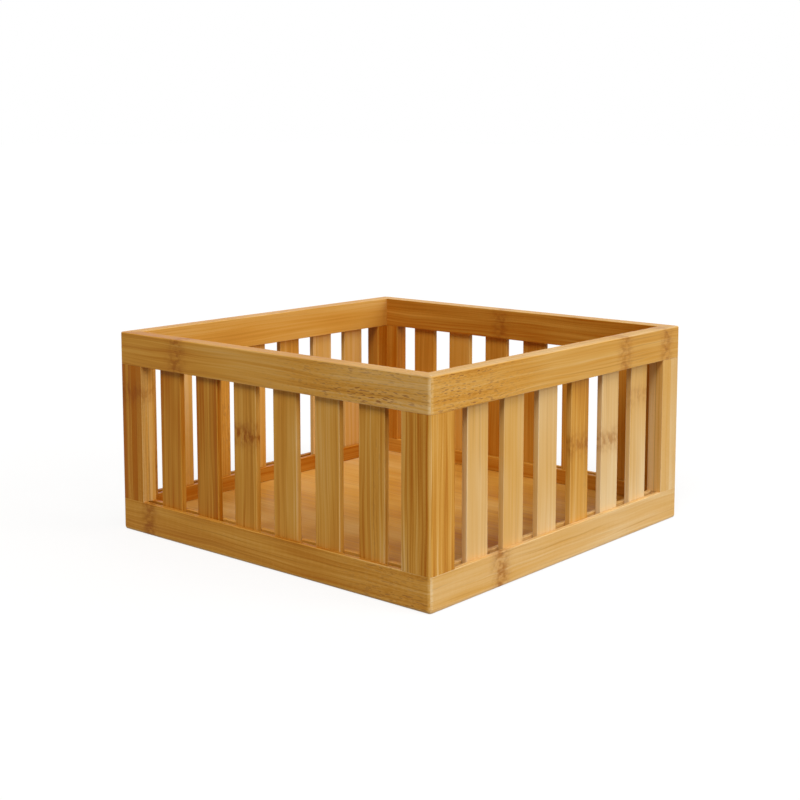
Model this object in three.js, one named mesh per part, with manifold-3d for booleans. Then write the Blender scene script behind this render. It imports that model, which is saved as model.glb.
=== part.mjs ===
// Slatted bamboo crate: four framed panels, mitred at the corners, round a floor panel.
// Millimetres, +Z up. The origin is the centre of the underside, so the crate stands on Z = 0.
import * as THREE from 'three';
import { mergeVertices } from 'three/addons/utils/BufferGeometryUtils.js';
import Module from 'manifold-3d';

// Overall size
const overallWidth = 250;
const overallDepth = 250;
const overallHeight = 125;

// Frame members
const frameThickness = 10;
const railHeight = 20;
const stileWidth = 20;

// Slats, centred in the thickness of the frame
const slatsPerPanel = 6;
const slatWidth = 18.4;
const slatThickness = 3.6;
const slatGrooveDepth = 6;

// Floor panel, held in a groove on the inner faces of the bottom rails
const floorThickness = 5;
const floorHeight = 10;
const floorGrooveDepth = 4;

// Fits
const slatFaceClearance = 0.15;
const slatEndClearance = 0.3;
const floorFaceClearance = 0.15;
const floorEdgeClearance = 0.4;
const mitreGlueLine = 0.2;

// Sanded edges
const cornerRadius = 2.6;
const rimRadius = 1.1;
const footRadius = 2;
const arrisRadius = 0.6;
const slatArrisRadius = 0.5;
const curveSegments = 5;
const rimSegments = 3;
const arrisSegments = 2;

// A cutting tool reaches this far past the wood, so that it leaves no skin
const cutterOverrun = 5;

const wasm = await Module();
wasm.setup();

function solidFrom(geometry) {
  const bare = geometry.clone();
  bare.deleteAttribute('normal');
  bare.deleteAttribute('uv');
  const merged = mergeVertices(bare, 1e-4);
  const mesh = new wasm.Mesh({
    numProp: 3,
    vertProperties: new Float32Array(merged.attributes.position.array),
    triVerts: new Uint32Array(merged.index.array),
  });
  return new wasm.Manifold(mesh);
}

function geometryFrom(solid) {
  const mesh = solid.getMesh();
  const geometry = new THREE.BufferGeometry();
  geometry.setAttribute('position', new THREE.BufferAttribute(new Float32Array(mesh.vertProperties), 3));
  geometry.setIndex(new THREE.BufferAttribute(new Uint32Array(mesh.triVerts), 1));
  geometry.computeVertexNormals();
  return geometry;
}

// A box between two opposite corners
function boxBetween([x0, y0, z0], [x1, y1, z1]) {
  const box = new THREE.BoxGeometry(x1 - x0, y1 - y0, z1 - z0);
  return solidFrom(box.translate((x0 + x1) / 2, (y0 + y1) / 2, (z0 + z1) / 2));
}

function roundedRectangle(x0, y0, x1, y1, radius) {
  const shape = new THREE.Shape();
  shape.moveTo(x0 + radius, y0);
  shape.lineTo(x1 - radius, y0);
  shape.absarc(x1 - radius, y0 + radius, radius, -Math.PI / 2, 0);
  shape.lineTo(x1, y1 - radius);
  shape.absarc(x1 - radius, y1 - radius, radius, 0, Math.PI / 2);
  shape.lineTo(x0 + radius, y1);
  shape.absarc(x0 + radius, y1 - radius, radius, Math.PI / 2, Math.PI);
  shape.lineTo(x0, y0 + radius);
  shape.absarc(x0 + radius, y0 + radius, radius, Math.PI, Math.PI * 1.5);
  return shape;
}

// A planed strip of bamboo standing along Z, with its four long edges eased
function uprightStrip([x0, y0, z0], [x1, y1, z1], edgeRadius) {
  const outline = roundedRectangle(x0, y0, x1, y1, edgeRadius);
  const strip = new THREE.ExtrudeGeometry(outline, {
    depth: z1 - z0,
    bevelEnabled: false,
    curveSegments: arrisSegments,
  });
  return solidFrom(strip.translate(0, 0, z0));
}

// The same strip lying along X: the section is drawn in Y and Z
function lyingStrip([x0, y0, z0], [x1, y1, z1], edgeRadius) {
  const outline = roundedRectangle(y0, z0, y1, z1, edgeRadius);
  const strip = new THREE.ExtrudeGeometry(outline, {
    depth: x1 - x0,
    bevelEnabled: false,
    curveSegments: arrisSegments,
  });
  const depthBecomesX = new THREE.Matrix4().set(
    0, 0, 1, 0,
    1, 0, 0, 0,
    0, 1, 0, 0,
    0, 0, 0, 1,
  );
  return solidFrom(strip.applyMatrix4(depthBecomesX).translate(x0, 0, 0));
}

// A block as long as a panel, from one height to another, with all its edges rounded
function roundedBlock(panelLength, z0, z1, edgeRadius) {
  const outline = roundedRectangle(
    -panelLength / 2 + edgeRadius,
    edgeRadius,
    panelLength / 2 - edgeRadius,
    panelLength - edgeRadius,
    cornerRadius - edgeRadius,
  );
  const block = new THREE.ExtrudeGeometry(outline, {
    depth: z1 - z0 - 2 * edgeRadius,
    bevelEnabled: true,
    bevelSize: edgeRadius,
    bevelThickness: edgeRadius,
    bevelSegments: rimSegments,
    curveSegments,
  });
  return solidFrom(block.translate(0, 0, z0 + edgeRadius));
}

// The outside of a glued-up panel after sanding. In a panel's own frame X runs along it,
// Y = 0 is its outer face and Y grows inwards. The vertical corners, the rim and the foot are rounded.
function sandedSkin(panelLength) {
  const rimmed = roundedBlock(panelLength, -overallHeight, overallHeight, rimRadius);
  const footed = roundedBlock(panelLength, 0, 2 * overallHeight, footRadius);
  return rimmed.intersect(footed);
}

// The space that a panel fills between the two mitre cuts, each half a glue line short
function mitreEnvelope(panelLength) {
  const glueStep = mitreGlueLine / 2 * Math.SQRT2;
  const outerHalf = panelLength / 2 - glueStep;
  const innerHalf = outerHalf - frameThickness;
  const outline = new THREE.Shape();
  outline.moveTo(-outerHalf, 0);
  outline.lineTo(outerHalf, 0);
  outline.lineTo(innerHalf, frameThickness);
  outline.lineTo(-innerHalf, frameThickness);
  outline.closePath();
  return solidFrom(new THREE.ExtrudeGeometry(outline, { depth: overallHeight, bevelEnabled: false }));
}

const slatFace = (frameThickness - slatThickness) / 2;
const slatBack = slatFace + slatThickness;
const grooveFace = slatFace - slatFaceClearance;
const grooveBack = slatBack + slatFaceClearance;
const tongueReach = slatGrooveDepth - slatEndClearance;
const floorUnderside = floorHeight - floorThickness;
const stileFoot = railHeight;
const stileHead = overallHeight - railHeight;

function bottomRail(panelLength, outside) {
  const half = panelLength / 2;
  const bar = lyingStrip([-half, 0, 0], [half, frameThickness, railHeight], arrisRadius);
  const slatGroove = boxBetween(
    [-half - cutterOverrun, grooveFace, railHeight - slatGrooveDepth],
    [half + cutterOverrun, grooveBack, railHeight + cutterOverrun],
  );
  const floorGroove = boxBetween(
    [-half - cutterOverrun, frameThickness - floorGrooveDepth, floorUnderside - floorFaceClearance],
    [half + cutterOverrun, frameThickness + cutterOverrun, floorHeight + floorFaceClearance],
  );
  return bar.subtract(slatGroove).subtract(floorGroove).intersect(outside);
}

function topRail(panelLength, outside) {
  const half = panelLength / 2;
  const bar = lyingStrip([-half, 0, stileHead], [half, frameThickness, overallHeight], arrisRadius);
  const slatGroove = boxBetween(
    [-half - cutterOverrun, grooveFace, stileHead - cutterOverrun],
    [half + cutterOverrun, grooveBack, stileHead + slatGrooveDepth],
  );
  return bar.subtract(slatGroove).intersect(outside);
}

// side is -1 for the stile at the panel's left end and 1 for the one at its right end
function stile(panelLength, outside, side) {
  const half = panelLength / 2;
  const edge = half - stileWidth;
  const [x0, x1] = side < 0 ? [-half, -edge] : [edge, half];
  const post = uprightStrip([x0, 0, stileFoot], [x1, frameThickness, stileHead], arrisRadius);
  const tenonEnd = half - grooveBack - mitreGlueLine;
  const [t0, t1] = side < 0 ? [-tenonEnd, -edge - arrisRadius] : [edge + arrisRadius, tenonEnd];
  const tenon = boxBetween(
    [t0, slatFace, stileFoot - tongueReach],
    [t1, slatBack, stileHead + tongueReach],
  );
  return post.intersect(outside).add(tenon);
}

function slat(panelLength, index) {
  const clearLength = panelLength - 2 * stileWidth;
  const gap = (clearLength - slatsPerPanel * slatWidth) / (slatsPerPanel + 1);
  const x0 = -clearLength / 2 + gap + index * (slatWidth + gap);
  return uprightStrip(
    [x0, slatFace, stileFoot - tongueReach],
    [x0 + slatWidth, slatBack, stileHead + tongueReach],
    slatArrisRadius,
  );
}

function floorBoard() {
  const reach = frameThickness - floorGrooveDepth + floorEdgeClearance;
  return boxBetween(
    [-overallWidth / 2 + reach, -overallDepth / 2 + reach, floorUnderside],
    [overallWidth / 2 - reach, overallDepth / 2 - reach, floorHeight],
  );
}

// Lacquered bamboo in the tone that each kind of piece has
function bamboo(colour, roughness) {
  return new THREE.MeshStandardMaterial({ color: colour, roughness, metalness: 0, flatShading: true });
}

const railBamboo = () => bamboo(0xcf9f5a, 0.5);
const stileBamboo = () => bamboo(0xc79550, 0.5);
const slatBamboo = () => bamboo(0xd3a863, 0.55);
const floorBamboo = () => bamboo(0xc8975a, 0.55);

function namedMesh(name, solid, material) {
  const mesh = new THREE.Mesh(geometryFrom(solid), material);
  mesh.name = name;
  return mesh;
}

// A panel is named for its side of the crate, and its stiles for the sides that they meet
function framedPanel(name, panelLength, leftNeighbour, rightNeighbour) {
  const panel = new THREE.Group();
  const outside = sandedSkin(panelLength).intersect(mitreEnvelope(panelLength));
  panel.add(namedMesh(`${name}_bottom_rail`, bottomRail(panelLength, outside), railBamboo()));
  panel.add(namedMesh(`${name}_top_rail`, topRail(panelLength, outside), railBamboo()));
  panel.add(namedMesh(`${name}_${leftNeighbour}_stile`, stile(panelLength, outside, -1), stileBamboo()));
  panel.add(namedMesh(`${name}_${rightNeighbour}_stile`, stile(panelLength, outside, 1), stileBamboo()));
  for (let index = 0; index < slatsPerPanel; index += 1) {
    panel.add(namedMesh(`${name}_slat_${index + 1}`, slat(panelLength, index), slatBamboo()));
  }
  return panel;
}

const crate = new THREE.Group();

const front = framedPanel('front', overallWidth, 'left', 'right');
front.position.y = -overallDepth / 2;
crate.add(front);

const right = framedPanel('right', overallDepth, 'front', 'back');
right.position.x = overallWidth / 2;
right.rotation.z = Math.PI / 2;
crate.add(right);

const back = framedPanel('back', overallWidth, 'right', 'left');
back.position.y = overallDepth / 2;
back.rotation.z = Math.PI;
crate.add(back);

const left = framedPanel('left', overallDepth, 'back', 'front');
left.position.x = -overallWidth / 2;
left.rotation.z = -Math.PI / 2;
crate.add(left);

crate.add(namedMesh('floor_panel', floorBoard(), floorBamboo()));

export default crate;
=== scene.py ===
"""Slatted bamboo crate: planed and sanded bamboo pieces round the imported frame, lit on a white floor."""
import math
import random

import bmesh
import bpy
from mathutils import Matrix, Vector


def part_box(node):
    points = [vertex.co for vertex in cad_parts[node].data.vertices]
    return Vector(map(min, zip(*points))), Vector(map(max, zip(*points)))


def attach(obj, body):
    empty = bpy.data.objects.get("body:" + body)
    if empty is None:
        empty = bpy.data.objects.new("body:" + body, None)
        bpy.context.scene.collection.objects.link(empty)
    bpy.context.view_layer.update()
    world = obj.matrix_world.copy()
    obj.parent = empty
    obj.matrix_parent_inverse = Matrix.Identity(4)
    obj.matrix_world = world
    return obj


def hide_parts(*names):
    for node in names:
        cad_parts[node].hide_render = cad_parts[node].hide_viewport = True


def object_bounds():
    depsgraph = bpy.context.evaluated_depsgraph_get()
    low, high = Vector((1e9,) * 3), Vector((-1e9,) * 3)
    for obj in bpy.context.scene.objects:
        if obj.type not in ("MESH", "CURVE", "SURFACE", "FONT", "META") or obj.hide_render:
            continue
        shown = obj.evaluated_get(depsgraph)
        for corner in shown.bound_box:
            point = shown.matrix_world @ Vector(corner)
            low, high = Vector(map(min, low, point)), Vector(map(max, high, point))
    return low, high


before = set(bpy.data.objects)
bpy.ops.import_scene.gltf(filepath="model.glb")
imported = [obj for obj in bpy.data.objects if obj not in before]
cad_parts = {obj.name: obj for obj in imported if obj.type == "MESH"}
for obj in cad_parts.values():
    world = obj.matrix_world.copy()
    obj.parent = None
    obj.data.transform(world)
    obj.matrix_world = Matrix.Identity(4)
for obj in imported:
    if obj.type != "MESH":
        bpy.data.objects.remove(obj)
cad_low, cad_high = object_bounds()

MM = 0.001
SIDES = ("front", "right", "back", "left")
NEIGHBOURS = {
    "front": ("left", "right"),
    "right": ("front", "back"),
    "back": ("right", "left"),
    "left": ("back", "front"),
}
SLATS = range(1, 7)

# Edges as the sanding leaves them
CORNER_RADIUS = 2.6 * MM
RIM_RADIUS = 0.8 * MM
INNER_RIM_RADIUS = 0.55 * MM
FOOT_RADIUS = 2.0 * MM
ARRIS = 0.35 * MM
SLAT_ARRIS = 0.45 * MM
GROOVE_ARRIS = 0.2 * MM
FLOOR_ARRIS = 0.3 * MM
SHARP_ANGLE = math.radians(28)

# Fits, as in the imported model
GROOVE_CLEARANCE = 0.15 * MM
GROOVE_END_CLEARANCE = 0.3 * MM
TENON_GAP = 0.2 * MM

# How far each mitre stops short, which lets no light through, and how deep a tenon starts in its stile
GLUE_STEP = 0.005 * MM
TENON_ROOT = 1.0 * MM

# How far a slat may lean and bow, which hand work leaves
SLAT_WANDER = 0.12 * MM

# How finely the meshes are cut, and how close two vertices are to count as one
ARC_STEPS = 6
RAIL_STATIONS = 24
UPRIGHT_STATIONS = 12
SAME_PLACE = 1e-7


class Side:
    """One panel's own frame: s runs along it from its middle, t goes inwards, z is up."""

    def __init__(self, name):
        self.name = name
        middle = (cad_low + cad_high) / 2
        size = cad_high - cad_low
        turn = SIDES.index(name) * math.pi / 2
        self.along = Vector((round(math.cos(turn)), round(math.sin(turn)), 0))
        self.inward = Vector((-self.along.y, self.along.x, 0))
        self.half = abs(size.dot(self.along)) / 2
        depth = abs(size.dot(self.inward))
        self.origin = Vector((middle.x, middle.y, cad_low.z)) - self.inward * depth / 2

    def world(self, s, t, z):
        return self.origin + self.along * s + self.inward * t + Vector((0, 0, z))

    def extent(self, node):
        """The node's ranges of s, t and z."""
        low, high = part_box(node)
        ranges = []
        for axis in (self.along, self.inward, Vector((0, 0, 1))):
            ends = sorted(((low - self.origin).dot(axis), (high - self.origin).dot(axis)))
            ranges.append(tuple(ends))
        return ranges


def eased_outline(corners):
    """A closed outline from (x, y, radius) corners, each rounded to its radius. Every point of it
    is an x, a y and how far into a rounded edge it is, from 0 on the flats to 1 in the middle of an edge."""
    outline = []
    for i, (x, y, radius) in enumerate(corners):
        here = Vector((x, y))
        if radius == 0:
            outline.append((x, y, 0))
            continue
        to_last = (Vector(corners[i - 1][:2]) - here).normalized()
        to_next = (Vector(corners[(i + 1) % len(corners)][:2]) - here).normalized()
        half = to_last.angle(to_next) / 2
        centre = here + (to_last + to_next).normalized() * radius / math.sin(half)
        start = here + to_last * radius / math.tan(half) - centre
        end = here + to_next * radius / math.tan(half) - centre
        sweep = start.angle_signed(end)
        for step in range(ARC_STEPS + 1):
            done = step / ARC_STEPS
            cosine = math.cos(-sweep * done)
            sine = math.sin(-sweep * done)
            arc_x = centre.x + start.x * cosine - start.y * sine
            arc_y = centre.y + start.x * sine + start.y * cosine
            outline.append((arc_x, arc_y, math.sin(math.pi * done)))
    return outline


class Timber:
    """A bamboo piece in the making. Each vertex keeps its wood coordinates, which are metres along
    the grain, across it and through the thickness, and how far into a rounded edge it is, for a painted
    highlight."""

    def __init__(self, node):
        self.node = node
        self.mesh = bmesh.new()
        self.grain = self.mesh.verts.layers.float_vector.new("grain")
        self.worn = self.mesh.verts.layers.float.new("worn")

    def ring(self, points):
        """points are (place, grain, how far into a rounded edge it is)."""
        made = []
        for place, grain, worn in points:
            vert = self.mesh.verts.new(place)
            vert[self.grain] = grain
            vert[self.worn] = worn
            made.append(vert)
        return made

    def skin(self, rings):
        """Joins closed rings into a solid and caps its two ends."""
        for last, ring in zip(rings, rings[1:]):
            for i in range(len(ring)):
                j = (i + 1) % len(ring)
                self.mesh.faces.new((last[i], last[j], ring[j], ring[i]))
        self.mesh.faces.new(rings[0])
        self.mesh.faces.new(rings[-1])

    def mark(self):
        """Gives every vertex the marks that its node's look sets."""
        reach = [vert[self.grain].x for vert in self.mesh.verts]
        look = LOOKS.get(self.node) or chance_look(self.node, min(reach), max(reach))
        seed = random.Random(self.node + " grain").uniform(0, SEED_SPREAD)
        marks = {
            "piece": (seed, look.tone, look.figure),
            "knots": (*look.knots, look.knot_strength),
            "flecks": look.flecks,
            "drift": (*look.drift, look.painted_side_light),
        }
        for name, values in marks.items():
            layer = self.mesh.verts.layers.float_vector.new(name)
            for vert in self.mesh.verts:
                vert[layer] = values

    def finish(self, material):
        """Makes the object, stands it for its node and gives it its finish."""
        bmesh.ops.remove_doubles(self.mesh, verts=self.mesh.verts, dist=SAME_PLACE)
        bmesh.ops.dissolve_degenerate(self.mesh, dist=SAME_PLACE, edges=self.mesh.edges)
        bmesh.ops.recalc_face_normals(self.mesh, faces=self.mesh.faces)
        for face in self.mesh.faces:
            face.smooth = True
        for edge in self.mesh.edges:
            edge.smooth = edge.is_manifold and edge.calc_face_angle(0) < SHARP_ANGLE
        self.mark()
        name = self.node + "_bamboo"
        mesh = bpy.data.meshes.new(name)
        self.mesh.to_mesh(mesh)
        self.mesh.free()
        mesh.materials.append(material)
        piece = bpy.data.objects.new(name, mesh)
        bpy.context.scene.collection.objects.link(piece)
        flat_faces = piece.modifiers.new("flat_faces", "WEIGHTED_NORMAL")
        flat_faces.keep_sharp = True
        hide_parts(self.node)
        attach(piece, "root")


def rail_path(side, t, fraction):
    """Where the line at depth t is, a fraction of the way from the left mitre to the right one, and
    how far into the rounded corner it is there, for a painted highlight. The outer lines turn through half
    of the rounded corner at each end."""
    turned = max(CORNER_RADIUS - t, 0)
    straight = side.half - max(CORNER_RADIUS, t) - GLUE_STEP
    if 0 <= fraction <= 1:
        return (2 * fraction - 1) * straight, t, 0
    end = -1 if fraction < 0 else 1
    past = -fraction if fraction < 0 else fraction - 1
    turn = past * math.pi / 4
    s = straight + turned * math.sin(turn)
    worn = math.sin(past * math.pi / 2) * turned / CORNER_RADIUS
    return end * s, t + turned * (1 - math.cos(turn)), worn


def rail_fractions():
    """Stations along a rail: the left corner's arc, the straight and the right corner's arc."""
    arc = [step / ARC_STEPS for step in range(1, ARC_STEPS + 1)]
    straight = [step / RAIL_STATIONS for step in range(RAIL_STATIONS + 1)]
    return [-a for a in reversed(arc)] + straight + [1 + a for a in arc]


def rail(side, node, section, material):
    """A mitred rail with the given (t, z, radius) section."""
    timber = Timber(node)
    outline = eased_outline(section)
    top = max(z for t, z, radius in section)
    rings = []
    for fraction in rail_fractions():
        points = []
        for t, z, eased in outline:
            s, depth, turned = rail_path(side, t, fraction)
            points.append((side.world(s, depth, z), (s, top - z, depth), max(eased, turned)))
        rings.append(timber.ring(points))
    timber.skin(rings)
    timber.finish(material)


def slat_groove(side):
    """The slats' groove: its two faces in t, and how deep it goes past the rail's edge."""
    _, (front, back), (foot, _) = side.extent(f"{side.name}_slat_1")
    rail_top = side.extent(f"{side.name}_bottom_rail")[2][1]
    depth = rail_top - foot + GROOVE_END_CLEARANCE
    return front - GROOVE_CLEARANCE, back + GROOVE_CLEARANCE, depth


def bottom_rail(side, material):
    node = f"{side.name}_bottom_rail"
    _, (_, thick), (low, high) = side.extent(node)
    face, back, depth = slat_groove(side)
    _, (floor_edge, _), (floor_low, floor_high) = side.extent("floor_panel")
    groove_end = floor_edge - GROOVE_END_CLEARANCE
    groove_low = floor_low - GROOVE_CLEARANCE
    groove_high = floor_high + GROOVE_CLEARANCE
    section = [
        (thick, low, ARRIS),
        (0, low, FOOT_RADIUS),
        (0, high, ARRIS),
        (face, high, GROOVE_ARRIS),
        (face, high - depth, 0),
        (back, high - depth, 0),
        (back, high, GROOVE_ARRIS),
        (thick, high, ARRIS),
        (thick, groove_high, GROOVE_ARRIS),
        (groove_end, groove_high, 0),
        (groove_end, groove_low, 0),
        (thick, groove_low, GROOVE_ARRIS),
    ]
    rail(side, node, section, material)


def top_rail(side, material):
    node = f"{side.name}_top_rail"
    _, (_, thick), (low, high) = side.extent(node)
    face, back, depth = slat_groove(side)
    section = [
        (thick, low, ARRIS),
        (back, low, GROOVE_ARRIS),
        (back, low + depth, 0),
        (face, low + depth, 0),
        (face, low, GROOVE_ARRIS),
        (0, low, ARRIS),
        (0, high, RIM_RADIUS),
        (thick, high, INNER_RIM_RADIUS),
    ]
    rail(side, node, section, material)


def stile_outline(side, near, thick):
    """A stile's section: its near edge eased, its far edge half of the corner, and the mitre."""
    flat_end = side.half - CORNER_RADIUS - GLUE_STEP
    outline = eased_outline([
        (side.half - thick - GLUE_STEP, thick, 0),
        (near, thick, ARRIS),
        (near, 0, ARRIS),
        (flat_end, 0, 0),
    ])
    for step in range(1, ARC_STEPS + 1):
        past = step / ARC_STEPS
        turn = past * math.pi / 4
        s = flat_end + CORNER_RADIUS * math.sin(turn)
        outline.append((s, CORNER_RADIUS * (1 - math.cos(turn)), math.sin(past * math.pi / 2)))
    return outline


def stile(side, end, material):
    """end is -1 for the stile at the panel's left end and 1 for the one at its right end."""
    neighbour = NEIGHBOURS[side.name][0 if end < 0 else 1]
    node = f"{side.name}_{neighbour}_stile"
    reach, (_, thick), _ = side.extent(node)
    near = min(abs(s) for s in reach)
    low = side.extent(f"{side.name}_bottom_rail")[2][1]
    high = side.extent(f"{side.name}_top_rail")[2][0]
    timber = Timber(node)
    rings = []
    for step in range(UPRIGHT_STATIONS + 1):
        z = low + (high - low) * step / UPRIGHT_STATIONS
        points = []
        for s, t, worn in stile_outline(side, near, thick):
            points.append((side.world(end * s, t, z), (z, s - near, t), worn))
        rings.append(timber.ring(points))
    timber.skin(rings)
    _, (front, back), (foot, head) = side.extent(f"{side.name}_slat_1")
    tenon_near = near + ARRIS
    tenon_far = side.half - back - TENON_GAP
    tenon = [(tenon_near, front), (tenon_far, front), (tenon_far, back), (tenon_near, back)]
    for ends in ((foot, low + TENON_ROOT), (high - TENON_ROOT, head)):
        rings = []
        for z in ends:
            points = [(side.world(end * s, t, z), (z, s - near, t), 0) for s, t in tenon]
            rings.append(timber.ring(points))
        timber.skin(rings)
    timber.finish(material)


def slat(side, index, material):
    """A slat with both of its tongues, leaning and bowed by a hair."""
    node = f"{side.name}_slat_{index}"
    (s0, s1), (t0, t1), (z0, z1) = side.extent(node)
    outline = eased_outline([
        (s0, t0, SLAT_ARRIS),
        (s1, t0, SLAT_ARRIS),
        (s1, t1, SLAT_ARRIS),
        (s0, t1, SLAT_ARRIS),
    ])
    dice = random.Random(node)
    lean = dice.uniform(-1, 1) * SLAT_WANDER
    bow = dice.uniform(-1, 1) * SLAT_WANDER / 2
    timber = Timber(node)
    rings = []
    for step in range(UPRIGHT_STATIONS + 1):
        up = step / UPRIGHT_STATIONS
        z = z0 + (z1 - z0) * up
        aside = lean * (2 * up - 1)
        inward = bow * (1 - (2 * up - 1) ** 2)
        points = []
        for s, t, worn in outline:
            points.append((side.world(s + aside, t + inward, z), (z, s - s0, t - t0), worn))
        rings.append(timber.ring(points))
    timber.skin(rings)
    timber.finish(material)


def floor_panel(material):
    """The floor board, its grain along X."""
    low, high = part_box("floor_panel")
    outline = eased_outline([
        (low.y, low.z, FLOOR_ARRIS),
        (high.y, low.z, FLOOR_ARRIS),
        (high.y, high.z, FLOOR_ARRIS),
        (low.y, high.z, FLOOR_ARRIS),
    ])
    timber = Timber("floor_panel")
    rings = []
    for step in range(UPRIGHT_STATIONS + 1):
        x = low.x + (high.x - low.x) * step / UPRIGHT_STATIONS
        points = [(Vector((x, y, z)), (x, y - low.y, z - low.z), worn) for y, z, worn in outline]
        rings.append(timber.ring(points))
    timber.skin(rings)
    timber.finish(material)


# Blender's Mix node has sockets of every kind, and these are its two colours and their mix
MIX_FIRST = 6
MIX_SECOND = 7
MIX_RESULT = 2


class Nodes:
    """Short names for the shader nodes of a material or a world."""

    def __init__(self, owner):
        owner.use_nodes = True
        self.tree = owner.node_tree
        self.tree.nodes.clear()

    def add(self, kind, **settings):
        node = self.tree.nodes.new("ShaderNode" + kind)
        for name, value in settings.items():
            setattr(node, name, value)
        return node

    def link(self, source, target):
        if isinstance(source, (int, float, tuple)):
            target.default_value = source
        else:
            self.tree.links.new(source, target)

    def math(self, operation, a, b=0.0, c=0.0, clamp=False):
        node = self.add("Math", operation=operation, use_clamp=clamp)
        for socket, value in zip(node.inputs, (a, b, c)):
            self.link(value, socket)
        return node.outputs[0]

    def plus(self, a, b):
        return self.math("ADD", a, b)

    def minus(self, a, b):
        return self.math("SUBTRACT", a, b)

    def times(self, a, b):
        return self.math("MULTIPLY", a, b)

    def most(self, a, b):
        return self.math("MAXIMUM", a, b)

    def centred(self, noise, amount):
        """Noise moved to lie round 0, and scaled."""
        return self.times(self.minus(noise, 0.5), amount)

    def bell(self, distance, reach):
        """1 where the distance is 0, falling off smoothly past the reach."""
        scaled = self.math("DIVIDE", distance, reach)
        return self.math("EXPONENT", self.times(self.times(scaled, scaled), -1.0))

    def steps(self, value, low, high, to_low=0.0, to_high=1.0):
        node = self.add("MapRange", interpolation_type="SMOOTHSTEP")
        for socket, number in zip(node.inputs[:5], (value, low, high, to_low, to_high)):
            self.link(number, socket)
        return node.outputs[0]

    def vector(self, x, y, z):
        node = self.add("CombineXYZ")
        for socket, value in zip(node.inputs, (x, y, z)):
            self.link(value, socket)
        return node.outputs[0]

    def attribute(self, name):
        """The three numbers of a vertex attribute."""
        node = self.add("Attribute", attribute_name=name, attribute_type="GEOMETRY")
        split = self.add("SeparateXYZ")
        self.link(node.outputs["Vector"], split.inputs[0])
        return split.outputs

    def mix(self, factor, a, b, blend="MIX"):
        node = self.add("Mix", data_type="RGBA", blend_type=blend)
        self.link(factor, node.inputs[0])
        self.link(a, node.inputs[MIX_FIRST])
        self.link(b, node.inputs[MIX_SECOND])
        return node.outputs[MIX_RESULT]

    def ramp(self, value, colours):
        node = self.add("ValToRGB")
        stops = node.color_ramp.elements
        while len(stops) < len(colours):
            stops.new(0.5)
        for i, colour in enumerate(colours):
            stops[i].position = i / (len(colours) - 1)
            stops[i].color = colour
        self.link(value, node.inputs[0])
        return node.outputs[0]

    def unseen(self):
        """1 for the light's own rays, 0 for those of the camera, gloss and glass."""
        path = self.add("LightPath")
        seen = self.most(path.outputs["Is Camera Ray"], path.outputs["Is Glossy Ray"])
        return self.minus(1.0, self.most(seen, path.outputs["Is Transmission Ray"]))


def srgb(red, green, blue):
    """A colour given as 0 to 255 on screen, as the linear values that a shader takes."""
    def linear(value):
        value /= 255
        return value / 12.92 if value <= 0.04045 else ((value + 0.055) / 1.055) ** 2.4
    return (linear(red), linear(green), linear(blue), 1.0)


# Bamboo from its darkest fibre to its palest, in even steps
TONES = (
    srgb(176, 100, 10),
    srgb(192, 128, 40),
    srgb(209, 150, 60),
    srgb(217, 167, 88),
    srgb(224, 183, 120),
    srgb(232, 202, 152),
)
VESSEL = srgb(158, 96, 12)
FLECK = srgb(132, 62, 0)
KNOT_STAIN = srgb(196, 158, 110)
GLUE = srgb(112, 70, 26)

# Noise in the wood: the length and the width of one wave along and across the grain, and a number
# that keeps it apart from the others
RAGGED = (30 * MM, 4 * MM, 5)
SWAY = (70 * MM, 16 * MM, 7)
SWIRL = (12 * MM, 7 * MM, 9)
BAND = (320 * MM, 5.5 * MM, 11)
FIBRE = (150 * MM, 1.7 * MM, 23)
HAIR = (60 * MM, 0.8 * MM, 37)
CLOUD = (70 * MM, 26 * MM, 41)
BUNCH = (90 * MM, 9 * MM, 53)
THREAD = (110 * MM, 1.1 * MM, 61)
DASH = (4.8 * MM, 0.8 * MM, 67)
MOTTLE = (4.2 * MM, 3.0 * MM, 71)

# How rough the noise is, and the range from which each piece's own place in it is drawn
STREAK_DETAIL = 1.5
MOTTLE_DETAIL = 2.0
SEED_SPREAD = 900

# How far each noise moves the tone
BAND_DEPTH = 0.34
FIBRE_DEPTH = 0.85
HAIR_DEPTH = 0.6
DASH_DEPTH = 1.1

# Half of a knot's length along the grain, how unevenly it lies, and how far the fibres swirl past it
KNOT_REACH = 6.5 * MM
KNOT_JITTER = 7 * MM
KNOT_SWIRL = 5 * MM

# How far the fibres sway, and how far the edges of the laminations do
SWAY_REACH = 5 * MM
STRIP_SWAY = 0.6 * MM

# How much paler rounded edges are painted, as a highlight, and how deep a rail's top, or a stile's side
# towards the slats, goes
EDGE_HIGHLIGHT = 0.22
NEAR_SIDE = 0.3 * MM

# Two values between which a mark comes in, and how much of it there is at each, if not none and all
BUNCH_FLECKS = (0.60, 0.72, 0.0, 0.25)
CLEAR_FLECKS = (0.36, 0.56, 0.35, 1.0)
TOP_FLECKS = (0.0, NEAR_SIDE, 0.25, 1.0)
THREAD_START = (0.54, 0.66)
THREAD_BUNCHES = (0.42, 0.62, 0.2, 1.0)
DASH_START = (0.53, 0.63)
MOTTLE_START = (0.38, 0.62, 0.3, 1.0)
GLUE_LINE = (0.05 * MM, 0.25 * MM, 0.5, 0.0)

# How flecked a knot is, and how strongly threads and dashes darken the wood
KNOT_FLECKS = 0.45
THREAD_DARKNESS = 0.5
DASH_DARKNESS = 0.8

# The lacquer, and the relief below it: its depth, its strength and what each mark adds or takes
ROUGHNESS = 0.46
ROUGHNESS_SPREAD = 0.5
GLOSS = 0.1
RELIEF = 0.15 * MM
RELIEF_STRENGTH = 0.3
HAIR_RELIEF = 0.5
FIBRE_RELIEF = 0.5
DASH_RELIEF = 0.3
THREAD_RELIEF = 0.15


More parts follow.
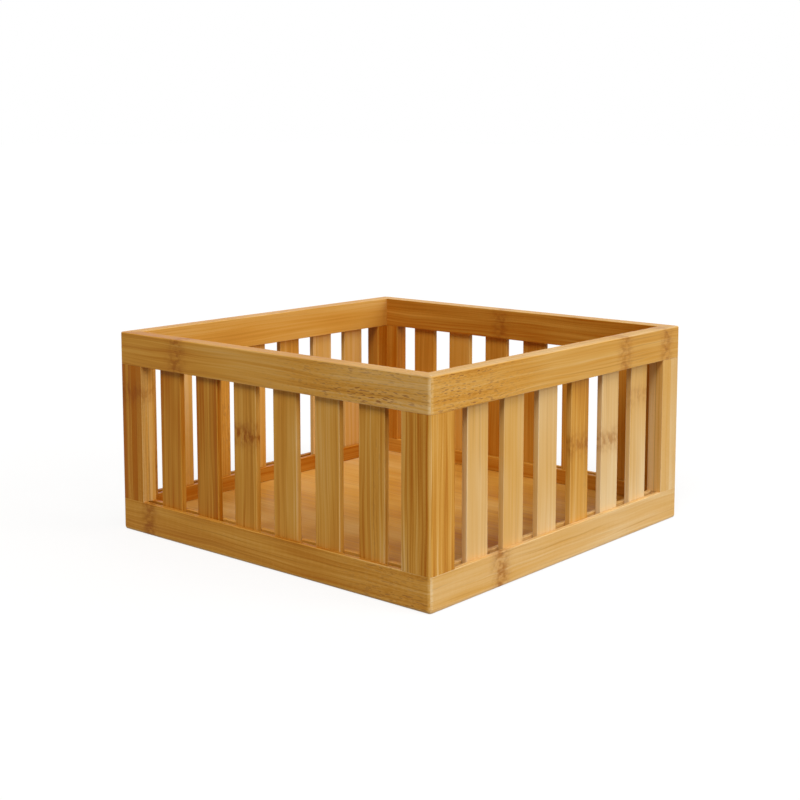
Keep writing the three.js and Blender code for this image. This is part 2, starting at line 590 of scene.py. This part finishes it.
class Bamboo(Nodes):
    """The nodes of a bamboo material, with the wood coordinates and the piece's marks at hand."""

    def __init__(self, material):
        super().__init__(material)
        self.along, self.across, self.through = self.attribute("grain")
        self.seed, self.tone, self.figure = self.attribute("piece")
        worn = self.add("Attribute", attribute_name="worn", attribute_type="GEOMETRY")
        self.worn = worn.outputs["Fac"]

    def streaks(self, wave, sideways, detail=STREAK_DETAIL):
        """Noise drawn out along the grain. sideways is the coordinate that it follows across it."""
        length, width, offset = wave
        node = self.add("TexNoise", noise_dimensions="4D")
        place = self.vector(
            self.times(self.along, 1 / length),
            self.times(sideways, 1 / width),
            self.times(self.through, 1 / width),
        )
        self.link(place, node.inputs["Vector"])
        self.link(self.plus(self.seed, float(offset)), node.inputs["W"])
        node.inputs["Scale"].default_value = 1.0
        node.inputs["Detail"].default_value = detail
        return node.outputs["Fac"]

    def knots(self):
        """How much of a knot there is. A knot lies at a slightly different height in each fibre."""
        first, second, strength = self.attribute("knots")
        jitter = self.centred(self.streaks(RAGGED, self.across), KNOT_JITTER)
        here = self.plus(self.along, jitter)
        from_first = self.bell(self.minus(here, first), KNOT_REACH)
        from_second = self.bell(self.minus(here, second), KNOT_REACH)
        return self.times(self.most(from_first, from_second), strength)

    def fleckedness(self, knot, bunch):
        """How flecked the wood is: in the look's stretch, round knots and in some bunches, but less on
            a rail's top and not on rounded edges."""
        middle, reach, strength = self.attribute("flecks")
        stretch = self.times(self.bell(self.minus(self.along, middle), reach), strength)
        stretch = self.most(stretch, self.times(knot, KNOT_FLECKS))
        stretch = self.most(stretch, self.steps(bunch, *BUNCH_FLECKS))
        stretch = self.times(stretch, self.steps(bunch, *CLEAR_FLECKS))
        stretch = self.times(stretch, self.steps(self.across, *TOP_FLECKS))
        return self.times(stretch, self.minus(1.0, self.worn))

    def strips(self, ply, strip, sway):
        """A number for each lamination, because each was cut from another stem."""
        edge = self.most(self.plus(self.across, self.centred(sway, STRIP_SWAY)), 0.0)
        column = self.math("FLOOR", self.math("DIVIDE", edge, strip))
        layer = self.math("FLOOR", self.math("DIVIDE", self.through, ply))
        node = self.add("TexWhiteNoise", noise_dimensions="3D")
        self.link(self.vector(layer, column, self.seed), node.inputs["Vector"])
        return node.outputs["Value"]


def bamboo(name, ply, strip, strip_contrast, blotch):
    """Satin lacquered bamboo. ply and strip are the thickness and the width of its laminations,
    and strip_contrast and blotch are how much the laminations and the wide clouds differ in tone."""
    material = bpy.data.materials.new(name)
    n = Bamboo(material)

    # The fibres sway along the piece and swirl past a knot
    knot = n.knots()
    sway = n.streaks(SWAY, n.across)
    swirl = n.times(n.centred(n.streaks(SWIRL, n.across), KNOT_SWIRL), knot)
    drawn = n.plus(n.plus(n.across, n.centred(sway, SWAY_REACH)), swirl)
    fibre = n.streaks(FIBRE, drawn)
    hair = n.streaks(HAIR, drawn)
    bunch = n.streaks(BUNCH, drawn)
    dash = n.streaks(DASH, drawn)
    flecked = n.fleckedness(knot, bunch)

    # The tone of the wood
    about, gain, painted_side_light = n.attribute("drift")
    value = n.plus(n.centred(n.streaks(BAND, drawn), BAND_DEPTH), n.centred(fibre, FIBRE_DEPTH))
    value = n.times(n.plus(value, n.centred(hair, HAIR_DEPTH)), n.figure)
    value = n.plus(value, n.centred(n.streaks(CLOUD, n.across), blotch))
    value = n.plus(value, n.centred(n.strips(ply, strip, sway), strip_contrast))
    value = n.plus(value, n.times(n.centred(dash, DASH_DEPTH), flecked))
    # Painted light and shade: the tone grows or falls steadily along the piece from a given place
    value = n.plus(value, n.times(n.minus(n.along, about), gain))
    # A painted highlight: rounded edges are made paler, most of all in the middle of an edge
    value = n.plus(value, n.times(n.worn, EDGE_HIGHLIGHT))
    # Painted light: a rail's top, or a stile's side towards the slats, made paler or darker
    value = n.plus(value, n.times(n.steps(n.across, 0.0, NEAR_SIDE, 1.0, 0.0), painted_side_light))
    colour = n.ramp(n.math("ADD", value, n.tone, clamp=True), TONES)

    # Dark vessels: long threads in bunches, and short dashes where they are cut across
    threads = n.times(n.steps(n.streaks(THREAD, drawn), *THREAD_START), n.figure)
    threads = n.times(threads, n.steps(bunch, *THREAD_BUNCHES))
    colour = n.mix(n.times(threads, THREAD_DARKNESS), colour, VESSEL)
    dashes = n.times(n.steps(dash, *DASH_START), flecked)
    colour = n.mix(n.times(dashes, DASH_DARKNESS), colour, FLECK)

    # The knot's brown, mottled stain
    mottle = n.steps(n.streaks(MOTTLE, n.across, MOTTLE_DETAIL), *MOTTLE_START)
    colour = n.mix(n.times(knot, mottle), colour, KNOT_STAIN, "MULTIPLY")

    # The glue line between plies
    from_glue = n.math("ABSOLUTE", n.minus(n.through, ply))
    colour = n.mix(n.steps(from_glue, *GLUE_LINE), colour, GLUE)

    shader = n.add("BsdfPrincipled")
    shader.inputs["Specular IOR Level"].default_value = GLOSS
    n.link(colour, shader.inputs["Base Color"])
    n.link(n.plus(n.centred(fibre, ROUGHNESS_SPREAD), ROUGHNESS), shader.inputs["Roughness"])
    height = n.plus(n.times(hair, HAIR_RELIEF), n.times(fibre, FIBRE_RELIEF))
    height = n.minus(height, n.times(dashes, DASH_RELIEF))
    height = n.minus(height, n.times(threads, THREAD_RELIEF))
    bump = n.add("Bump")
    bump.inputs["Strength"].default_value = RELIEF_STRENGTH
    bump.inputs["Distance"].default_value = RELIEF
    n.link(height, bump.inputs["Height"])
    n.link(bump.outputs[0], shader.inputs["Normal"])
    n.link(shader.outputs[0], n.add("OutputMaterial").inputs[0])
    return material


# The laminations: thin strips, the floor's wide ones, and one wider than any piece, which makes it solid
STRIP = 5 * MM
FLOOR_STRIP = 25 * MM
WIDE = 1.0

RAIL_BAMBOO = bamboo("rail_bamboo", ply=STRIP, strip=WIDE, strip_contrast=0.2, blotch=0.45)
STILE_BAMBOO = bamboo("stile_bamboo", ply=STRIP, strip=STRIP, strip_contrast=0.3, blotch=0.45)
SLAT_BAMBOO = bamboo("slat_bamboo", ply=WIDE, strip=WIDE, strip_contrast=0.0, blotch=0.6)
FLOOR_BAMBOO = bamboo("floor_bamboo", ply=WIDE, strip=FLOOR_STRIP, strip_contrast=0.08, blotch=0.8)

# A place that no piece reaches, for the marks that a piece doesn't have
FAR_AWAY = 5.0


class Look:
    """What marks one piece of bamboo. tone runs from 0, darkest, to 1, palest, and figure is how
    strongly its fibres show. Places are along the grain, in metres: knots, the middle and the reach
    of a flecked stretch with its strength, and the place from which light and shade are painted as a
    steady change of tone, with the tone that they add in each metre. The last is the light painted on
    a rail's top, or on a stile's side towards the slats: how much paler it is made."""

    def __init__(
        self,
        tone,
        figure,
        knots=(),
        knot_strength=0.8,
        flecks=(FAR_AWAY, 0.01, 0),
        drift=(0, 0),
        painted_side_light=0,
    ):
        self.tone = tone
        self.figure = figure
        self.knots = tuple(knots) + (FAR_AWAY,) * (2 - len(knots))
        self.knot_strength = knot_strength
        self.flecks = flecks
        self.drift = drift
        self.painted_side_light = painted_side_light


# Half of the crate's height, about which the right panel's slats are painted paler below and darker above,
# as light from the floor
MID_HEIGHT = 0.0625

# The pieces whose tone or marks show in the photograph
# Their tones are partly the bamboo's own and partly painted light: paler on the right panel and on the
# left panel's inside, which face the strongest lamp, and darker on the front panel and on the back panel's
# inside, which face away from it.
LOOKS = {
    # The steady changes of tone set here are painted light and shade: paler towards the near corner on the
    # front rails, paler low on the right panel's slats, and darker towards the right panel on the floor.
    # So are the paler or darker tops of rails and the front left stile's paler side towards the slats.
    "front_top_rail": Look(
        0.41, 0.75, [-0.072], 0.7, flecks=(0.085, 0.055, 1.0), drift=(0, 1.5), painted_side_light=-0.1,
    ),
    "front_bottom_rail": Look(
        0.37, 0.9, [-0.100], 0.8, flecks=(0.110, 0.045, 0.9), drift=(0, 0.6),
    ),
    "front_left_stile": Look(0.04, 0.8, [0.088], 0.5, painted_side_light=0.5),
    "front_right_stile": Look(0.32, 1.4),
    "front_slat_1": Look(0.13, 0.8),
    "front_slat_2": Look(0.17, 1.0),
    "front_slat_3": Look(0.36, 0.8, [0.075], 1.0),
    "front_slat_4": Look(0.42, 0.8),
    "front_slat_5": Look(0.46, 0.8),
    "front_slat_6": Look(0.40, 1.0),
    "right_top_rail": Look(
        0.46, 0.7, [0.0605, 0.1085], 0.65, flecks=(-0.095, 0.045, 0.9), painted_side_light=0.15,
    ),
    "right_bottom_rail": Look(0.70, 0.6, [-0.064], 0.9, drift=(0, 0.3)),
    "right_front_stile": Look(0.28, 1.3),
    "right_back_stile": Look(0.72, 0.4),
    "right_slat_1": Look(0.75, 0.4, drift=(MID_HEIGHT, -1.5)),
    "right_slat_2": Look(0.73, 0.4, drift=(MID_HEIGHT, -2.0)),
    "right_slat_3": Look(0.74, 0.4, drift=(MID_HEIGHT, -2.0)),
    "right_slat_4": Look(0.36, 0.9, [0.0665], 0.6, drift=(MID_HEIGHT, -4.0)),
    "right_slat_5": Look(0.90, 0.4, [0.0635], 0.7, drift=(MID_HEIGHT, -2.0)),
    "right_slat_6": Look(0.82, 0.4, [0.086], 0.4, drift=(MID_HEIGHT, -4.0)),
    "back_top_rail": Look(0.10, 0.8, [0.010], 0.6, painted_side_light=0.4),
    "back_bottom_rail": Look(0.26, 0.6),
    "back_right_stile": Look(0.20, 0.5),
    "back_left_stile": Look(0.16, 0.5),
    "back_slat_1": Look(0.24, 0.5),
    "back_slat_2": Look(0.28, 0.5),
    "back_slat_3": Look(0.22, 0.5),
    "back_slat_4": Look(0.24, 0.5),
    "back_slat_5": Look(0.40, 0.5),
    "back_slat_6": Look(0.26, 0.5),
    "left_back_stile": Look(0.16, 0.5),
    "left_slat_1": Look(0.62, 0.5),
    "left_slat_2": Look(0.70, 0.5),
    "left_top_rail": Look(0.47, 0.45),
    "left_bottom_rail": Look(0.12, 0.6),
    "floor_panel": Look(0.40, 0.6, drift=(0, -1.2)),
}


# The ranges from which the other pieces draw their looks
CHANCE_TONE = (0.3, 0.6)
CHANCE_FIGURE = (0.5, 0.8)
CHANCE_OF_KNOT = 0.4
CHANCE_KNOT_STRENGTH = (0.4, 0.9)
CHANCE_FLECK_REACH = (0.02, 0.06)
CHANCE_FLECK_STRENGTH = (0.0, 0.8)


def chance_look(node, grain_low, grain_high):
    """A look like the others, for a piece that the photograph shows little or nothing of."""
    dice = random.Random(node)
    tone = dice.uniform(*CHANCE_TONE)
    knots = [dice.uniform(grain_low, grain_high)] if dice.random() < CHANCE_OF_KNOT else []
    knot_strength = dice.uniform(*CHANCE_KNOT_STRENGTH)
    fleck_middle = dice.uniform(grain_low, grain_high)
    fleck_reach = dice.uniform(*CHANCE_FLECK_REACH)
    fleck_strength = dice.uniform(*CHANCE_FLECK_STRENGTH)
    figure = dice.uniform(*CHANCE_FIGURE)
    return Look(tone, figure, knots, knot_strength, (fleck_middle, fleck_reach, fleck_strength))


def build_panel(name):
    side = Side(name)
    bottom_rail(side, RAIL_BAMBOO)
    top_rail(side, RAIL_BAMBOO)
    for end in (-1, 1):
        stile(side, end, STILE_BAMBOO)
    for index in SLATS:
        slat(side, index, SLAT_BAMBOO)


for side_name in SIDES:
    build_panel(side_name)
floor_panel(FLOOR_BAMBOO)

# The floor as it is seen: a share of the lamps' light, which keeps the shadow, and a glow that makes
# the rest white. For the light's own rays the floor is a plain grey.
GROUND_SIZE = 40.0
GROUND_SHARE = 0.22
GROUND_GLOW = 0.805
GROUND_BOUNCE = 0.38
SKY_LIGHT = 0.18
SKY_COLOUR = (1.0, 0.9, 0.75, 1.0)


def grey(level):
    return (level, level, level, 1.0)


def white_ground():
    """A pale floor that is seen as white, with the crate's soft shadow on it."""
    material = bpy.data.materials.new("ground")
    n = Nodes(material)
    shadowed = n.add("BsdfDiffuse")
    shadowed.inputs["Color"].default_value = grey(GROUND_SHARE)
    glow = n.add("Emission")
    glow.inputs["Strength"].default_value = GROUND_GLOW
    seen = n.add("AddShader")
    n.link(shadowed.outputs[0], seen.inputs[0])
    n.link(glow.outputs[0], seen.inputs[1])
    bounce = n.add("BsdfDiffuse")
    bounce.inputs["Color"].default_value = grey(GROUND_BOUNCE)
    choice = n.add("MixShader")
    n.link(n.unseen(), choice.inputs[0])
    n.link(seen.outputs[0], choice.inputs[1])
    n.link(bounce.outputs[0], choice.inputs[2])
    n.link(choice.outputs[0], n.add("OutputMaterial").inputs[0])
    return material


def ground():
    reach = GROUND_SIZE / 2
    corners = [(-reach, -reach), (reach, -reach), (reach, reach), (-reach, reach)]
    mesh = bpy.data.meshes.new("ground")
    mesh.from_pydata([(x, y, cad_low.z) for x, y in corners], [], [(0, 1, 2, 3)])
    mesh.materials.append(white_ground())
    plane = bpy.data.objects.new("ground", mesh)
    bpy.context.scene.collection.objects.link(plane)


def sky():
    """An even warm light from all round, seen as plain white."""
    world = bpy.data.worlds.new("studio")
    bpy.context.scene.world = world
    n = Nodes(world)
    backdrop = n.add("Background")
    backdrop.inputs["Color"].default_value = grey(1)
    backdrop.inputs["Strength"].default_value = 1
    light = n.add("Background")
    light.inputs["Color"].default_value = SKY_COLOUR
    light.inputs["Strength"].default_value = SKY_LIGHT
    choice = n.add("MixShader")
    n.link(n.unseen(), choice.inputs[0])
    n.link(backdrop.outputs[0], choice.inputs[1])
    n.link(light.outputs[0], choice.inputs[2])
    n.link(choice.outputs[0], n.add("OutputWorld").inputs[0])


def sun(name, towards, strength, softness):
    """A soft distant lamp in the given direction. softness is the angle that it fills, in degrees."""
    data = bpy.data.lights.new(name, "SUN")
    data.energy = strength
    data.angle = math.radians(softness)
    holder = bpy.data.objects.new(name, data)
    holder.location = towards
    holder.rotation_euler = Vector(towards).to_track_quat("Z", "Y").to_euler()
    bpy.context.scene.collection.objects.link(holder)


ground()
sky()
sun("right_window", (0.86, 0.36, 0.36), 1.32, 40)
sun("high_right", (0.5, 0.0, 0.87), 0.7, 50)
sun("back_fill", (-0.6, 0.6, 0.5), 0.2, 60)
sun("front_window", (0.45, -0.75, 1.0), 1.72, 26)

# The camera, at the photograph's place and angle
CAMERA_AT = (0.5754, -0.6727, 0.2484)
CAMERA_YAW = 40.70
CAMERA_PITCH = 6.78
CAMERA_LENS = 63.96
CAMERA_SHIFT = -0.125
CAMERA_NEAREST = 0.01
CAMERA_FARTHEST = 200.0

camera_data = bpy.data.cameras.new("camera")
camera_data.lens = CAMERA_LENS
camera_data.shift_y = CAMERA_SHIFT
camera_data.clip_start = CAMERA_NEAREST
camera_data.clip_end = CAMERA_FARTHEST
camera = bpy.data.objects.new("camera", camera_data)
camera.location = CAMERA_AT
camera.rotation_euler = (math.radians(90 - CAMERA_PITCH), 0, math.radians(CAMERA_YAW))
bpy.context.scene.collection.objects.link(camera)
bpy.context.scene.camera = camera

bpy.context.scene.view_settings.view_transform = "Standard"
